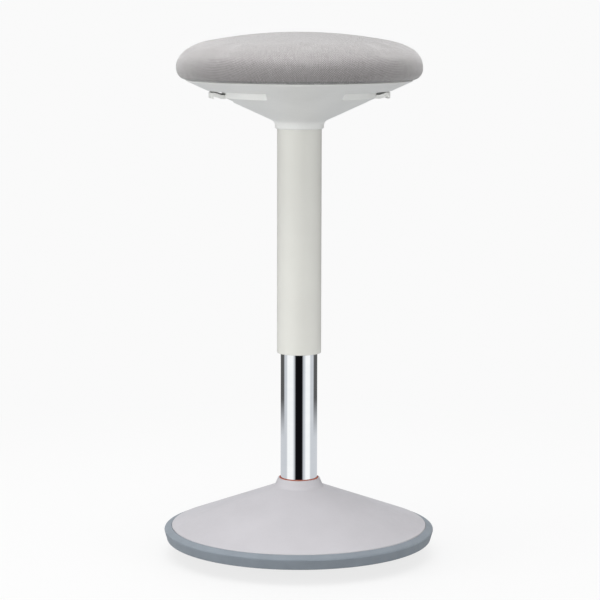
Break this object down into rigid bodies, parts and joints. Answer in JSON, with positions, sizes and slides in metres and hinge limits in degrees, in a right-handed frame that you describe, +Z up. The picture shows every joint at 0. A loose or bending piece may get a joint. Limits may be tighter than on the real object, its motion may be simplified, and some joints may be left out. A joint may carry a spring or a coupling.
{
  "type": "standing desk stool",
  "caption": "Round padded stool on a height-adjustable swivelling gas-lift column, with release paddles under the seat and a weighted base whose domed sole rocks.",
  "frame": {"origin": "on the floor, at the middle of the flat on the domed sole", "axes": "+Z up along the column, -Y to the front, the paddles at -X and +X"},
  "size_m": [0.3681, 0.3681, 0.71],
  "materials": {
    "seat_fabric": "matte",
    "seat_foam": "matte",
    "shell_plastic": "satin",
    "paddle_plastic": "satin",
    "sleeve_paint": "satin",
    "chrome_tube": "polished",
    "rod_chrome": "polished",
    "cover_plastic": "satin",
    "rim_rubber": "matte",
    "tread_rubber": "matte",
    "seal_rubber": "matte",
    "gasket_rubber": "matte",
    "pan_plastic": "matte",
    "black_plastic": "matte",
    "bearing_plastic": "satin",
    "bearing_brass": "satin",
    "plain_steel": "satin",
    "black_steel": "satin",
    "cast_ballast": "matte",
    "board_wood": "matte"
  },
  "bodies": {
    "base": {"sole_tread": "tread_rubber", "base_pan": "pan_plastic", "rim_bumper": "rim_rubber", "ballast_plate": "cast_ballast", "ballast_screws": "plain_steel", "column_socket": "plain_steel", "socket_bolts": "plain_steel", "base_cover": "cover_plastic", "cover_screws": "plain_steel", "collar_gasket": "gasket_rubber", "stand_tube": "chrome_tube", "guide_bush": "bearing_plastic", "bearing_lower_race": "plain_steel"},
    "ball_cage": {"bearing_cage": "bearing_brass", "bearing_balls": "plain_steel"},
    "rod": {"piston_rod": "rod_chrome", "rod_washer": "plain_steel", "rod_clip": "plain_steel", "piston": "bearing_plastic", "piston_seal": "seal_rubber", "bearing_upper_race": "plain_steel", "bump_stop": "seal_rubber"},
    "seat": {"gas_cylinder": "black_steel", "rod_guide": "bearing_plastic", "rod_seal": "seal_rubber", "valve_body": "bearing_brass", "column_sleeve": "sleeve_paint", "sleeve_glide": "bearing_plastic", "taper_socket": "black_steel", "seat_bracket": "black_steel", "seat_board": "board_wood", "tee_nuts": "plain_steel", "bracket_screws": "plain_steel", "seat_cover": "seat_fabric", "seat_foam": "seat_foam", "cover_staples": "plain_steel", "seat_shell": "shell_plastic", "shell_screws": "plain_steel", "pivot_pins": "plain_steel", "pivot_clips": "plain_steel"},
    "valve": {"valve_pin": "plain_steel", "release_cap": "black_plastic"},
    "paddle_left": {"lever_left": "paddle_plastic"},
    "paddle_right": {"lever_right": "paddle_plastic"}
  },
  "joints": [
    {"name": "swivel", "type": "hinge", "parent": "base", "child": "rod", "pos_m": [0, 0, 0.03], "axis": [0, 0, 1], "continuous": true},
    {"name": "cage_roll", "type": "hinge", "parent": "base", "child": "ball_cage", "pos_m": [0, 0, 0.03], "axis": [0, 0, 1], "continuous": true},
    {"name": "lift", "type": "slide", "parent": "rod", "child": "seat", "axis": [0, 0, 1], "range_m": [-0.11, 0.14]},
    {"name": "paddle_left_pull", "type": "hinge", "parent": "seat", "child": "paddle_left", "pos_m": [-0.056, 0, 0.628], "axis": [0, 1, 0], "range_deg": [0, 1.8], "stiffness_Nm_per_rad": 12, "springref_deg": -6.88},
    {"name": "paddle_right_pull", "type": "hinge", "parent": "seat", "child": "paddle_right", "pos_m": [0.056, 0, 0.628], "axis": [0, -1, 0], "range_deg": [0, 1.8]},
    {"name": "valve_press", "type": "slide", "parent": "seat", "child": "valve", "axis": [0, 0, -1], "range_m": [0, 0.0018]}
  ],
  "couplings": [
    {"joint": "cage_roll", "follows": "swivel", "ratio": 0.5},
    {"joint": "paddle_right_pull", "follows": "paddle_left_pull", "ratio": 1},
    {"joint": "valve_press", "follows": "paddle_left_pull", "m_per_rad": 0.0545}
  ]
}
